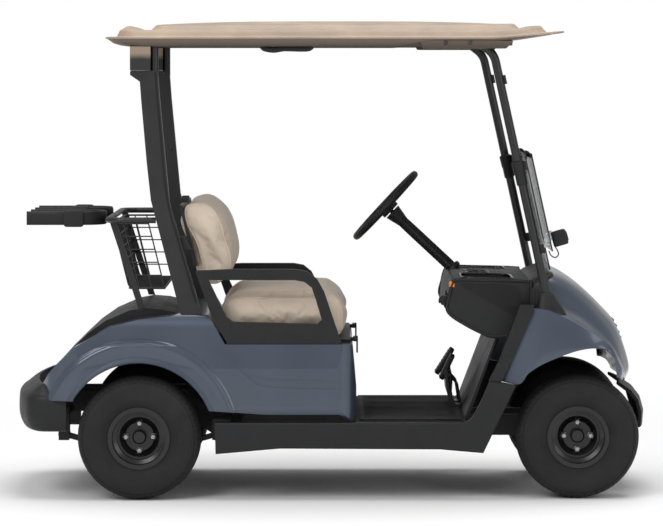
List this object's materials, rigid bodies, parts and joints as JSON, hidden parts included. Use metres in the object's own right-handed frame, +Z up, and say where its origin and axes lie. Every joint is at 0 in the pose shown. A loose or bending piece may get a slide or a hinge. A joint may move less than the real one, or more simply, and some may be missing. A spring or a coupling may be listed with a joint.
{
  "type": "golf cart",
  "caption": "Two-seat golf cart with a moulded body, canopy roof on struts, folding windshield, bench seat with armrests, wire basket and golf bag rests on small wide tyres.",
  "frame": {"origin": "on the ground, midway along the length, on the cart's middle plane", "axes": "+X towards the nose, +Y towards the driver's left, +Z up"},
  "size_m": [2.3999, 1.2, 1.7859],
  "materials": {
    "body_paint": "slate blue metallic",
    "black_plastic": "grained black",
    "roof_plastic": "tan, lightly grained",
    "seat_vinyl": "beige, soft sheen",
    "frame_paint": "satin black",
    "tube_paint": "satin black",
    "steel": "bare and oiled",
    "tyre_rubber": "matte black",
    "wheel_paint": "gloss black",
    "clear_sheet": "clear, faintly smoked",
    "floor_mat": "ribbed black",
    "battery_case": "moulded black",
    "grip": "soft black"
  },
  "bodies": {
    "chassis": {"armrest_left": "black_plastic", "armrest_right": "black_plastic", "bag_rack": "tube_paint", "bag_rests": "grip", "basket": "tube_paint", "battery_pack": "battery_case", "chassis_frame": "frame_paint", "dampers": "steel", "dash": "black_plastic", "floor_panel": "floor_mat", "fold_strip_lower": "black_plastic", "front_axle": "frame_paint", "front_bumper": "black_plastic", "front_cowl": "body_paint", "front_struts": "tube_paint", "grab_handle": "black_plastic", "leaf_springs": "frame_paint", "pedals": "tube_paint", "pillars": "black_plastic", "rear_axle": "frame_paint", "rear_body": "body_paint", "rear_bumper": "black_plastic", "rear_deck": "black_plastic", "rear_struts": "tube_paint", "roof": "roof_plastic", "roof_rails": "tube_paint", "seat_back": "seat_vinyl", "seat_back_frame": "tube_paint", "seat_hinges": "black_plastic", "sills": "black_plastic", "steering_column": "frame_paint", "strut_caps": "roof_plastic", "toe_board": "black_plastic", "windshield_clips": "black_plastic", "windshield_lower": "clear_sheet"},
    "rear_wheel_left": {"wheel_rear_left": "wheel_paint", "tyre_rear_left": "tyre_rubber"},
    "rear_wheel_right": {"wheel_rear_right": "wheel_paint", "tyre_rear_right": "tyre_rubber"},
    "knuckle_left": {"knuckle_left": "steel"},
    "knuckle_right": {"knuckle_right": "steel"},
    "front_wheel_left": {"wheel_front_left": "wheel_paint", "tyre_front_left": "tyre_rubber"},
    "front_wheel_right": {"wheel_front_right": "wheel_paint", "tyre_front_right": "tyre_rubber"},
    "tie_rod": {"tie_rod": "steel"},
    "steering_wheel": {"steering_wheel": "grip"},
    "windshield_fold": {"windshield_upper": "clear_sheet", "fold_strip_upper": "black_plastic"},
    "seat_lid": {"seat_cushion": "seat_vinyl", "seat_board": "black_plastic"}
  },
  "joints": [
    {"name": "rear_spin_left", "type": "hinge", "parent": "chassis", "child": "rear_wheel_left", "pos_m": [-0.717, 0.49, 0.231], "axis": [0, 1, 0], "continuous": true},
    {"name": "rear_spin_right", "type": "hinge", "parent": "chassis", "child": "rear_wheel_right", "pos_m": [-0.717, -0.49, 0.231], "axis": [0, 1, 0], "continuous": true},
    {"name": "front_spin_left", "type": "hinge", "parent": "knuckle_left", "child": "front_wheel_left", "pos_m": [0.921, 0.435, 0.231], "axis": [0, 1, 0], "continuous": true},
    {"name": "front_spin_right", "type": "hinge", "parent": "knuckle_right", "child": "front_wheel_right", "pos_m": [0.921, -0.435, 0.231], "axis": [0, 1, 0], "continuous": true},
    {"name": "steer_left", "type": "hinge", "parent": "chassis", "child": "knuckle_left", "pos_m": [0.921, 0.334, 0.231], "axis": [0, 0, 1], "range_deg": [-30, 30]},
    {"name": "steer_right", "type": "hinge", "parent": "chassis", "child": "knuckle_right", "pos_m": [0.921, -0.334, 0.231], "axis": [0, 0, 1], "range_deg": [-30, 30]},
    {"name": "tie_rod_pivot", "type": "hinge", "parent": "knuckle_left", "child": "tie_rod", "pos_m": [0.859, 0.334, 0.185], "axis": [0, 0, 1], "range_deg": [-30, 30]},
    {"name": "steering_turn", "type": "hinge", "parent": "chassis", "child": "steering_wheel", "pos_m": [0.212, 0.27, 1.069], "axis": [-0.7314, 0, 0.682], "range_deg": [-270, 270]},
    {"name": "windshield_swing", "type": "hinge", "parent": "chassis", "child": "windshield_fold", "pos_m": [0.72917, 0, 1.29345], "axis": [0, -1, 0], "range_deg": [0, 180]},
    {"name": "seat_tilt", "type": "hinge", "parent": "chassis", "child": "seat_lid", "pos_m": [0.087, 0, 0.59], "axis": [0, 1, 0], "range_deg": [0, 45]}
  ],
  "couplings": [
    {"joint": "steer_right", "follows": "steer_left", "ratio": 1},
    {"joint": "tie_rod_pivot", "follows": "steer_left", "ratio": -1},
    {"joint": "steering_turn", "follows": "steer_left", "ratio": 9}
  ]
}
